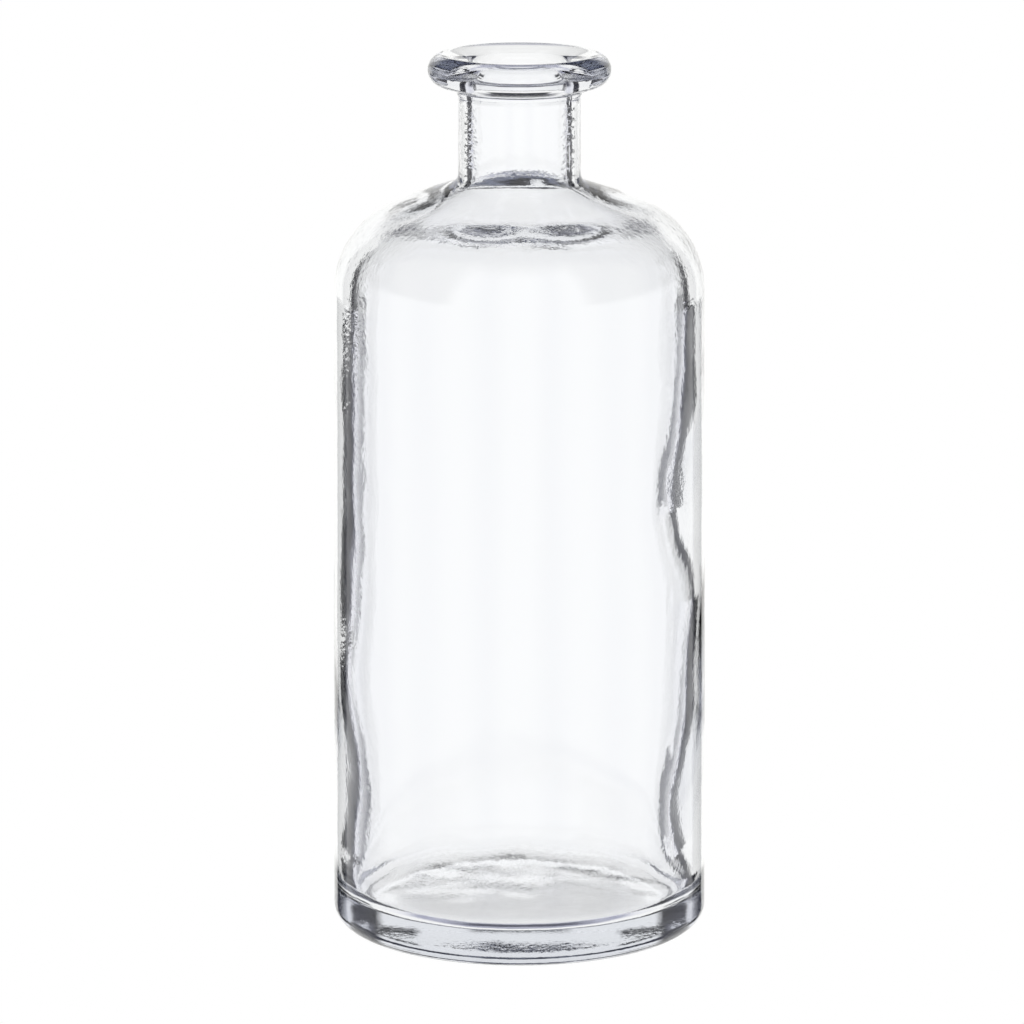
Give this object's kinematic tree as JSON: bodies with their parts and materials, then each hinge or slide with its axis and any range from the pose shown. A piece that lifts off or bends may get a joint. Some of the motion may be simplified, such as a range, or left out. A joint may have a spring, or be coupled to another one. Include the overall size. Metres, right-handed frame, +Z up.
{
  "type": "glass bud vase",
  "caption": "Clear moulded-glass bottle vase with a thick rolled lip, straight narrow neck, rounded shoulder, tall round body and heavy base.",
  "frame": {"origin": "centre of the foot, on the surface that the vase stands on", "axes": "+Z up the vase's axis, from the foot to the mouth; -Y is the front"},
  "size_m": [0.085, 0.085, 0.2],
  "materials": {
    "glass": "clear colourless moulded soda-lime glass, smooth outside with a fine orange-peel ripple and faint mould seams"
  },
  "bodies": {
    "root": {"floor": "glass", "heel_ring": "glass", "body_wall": "glass", "shoulder": "glass", "neck": "glass", "lip_ring": "glass"}
  },
  "joints": []
}
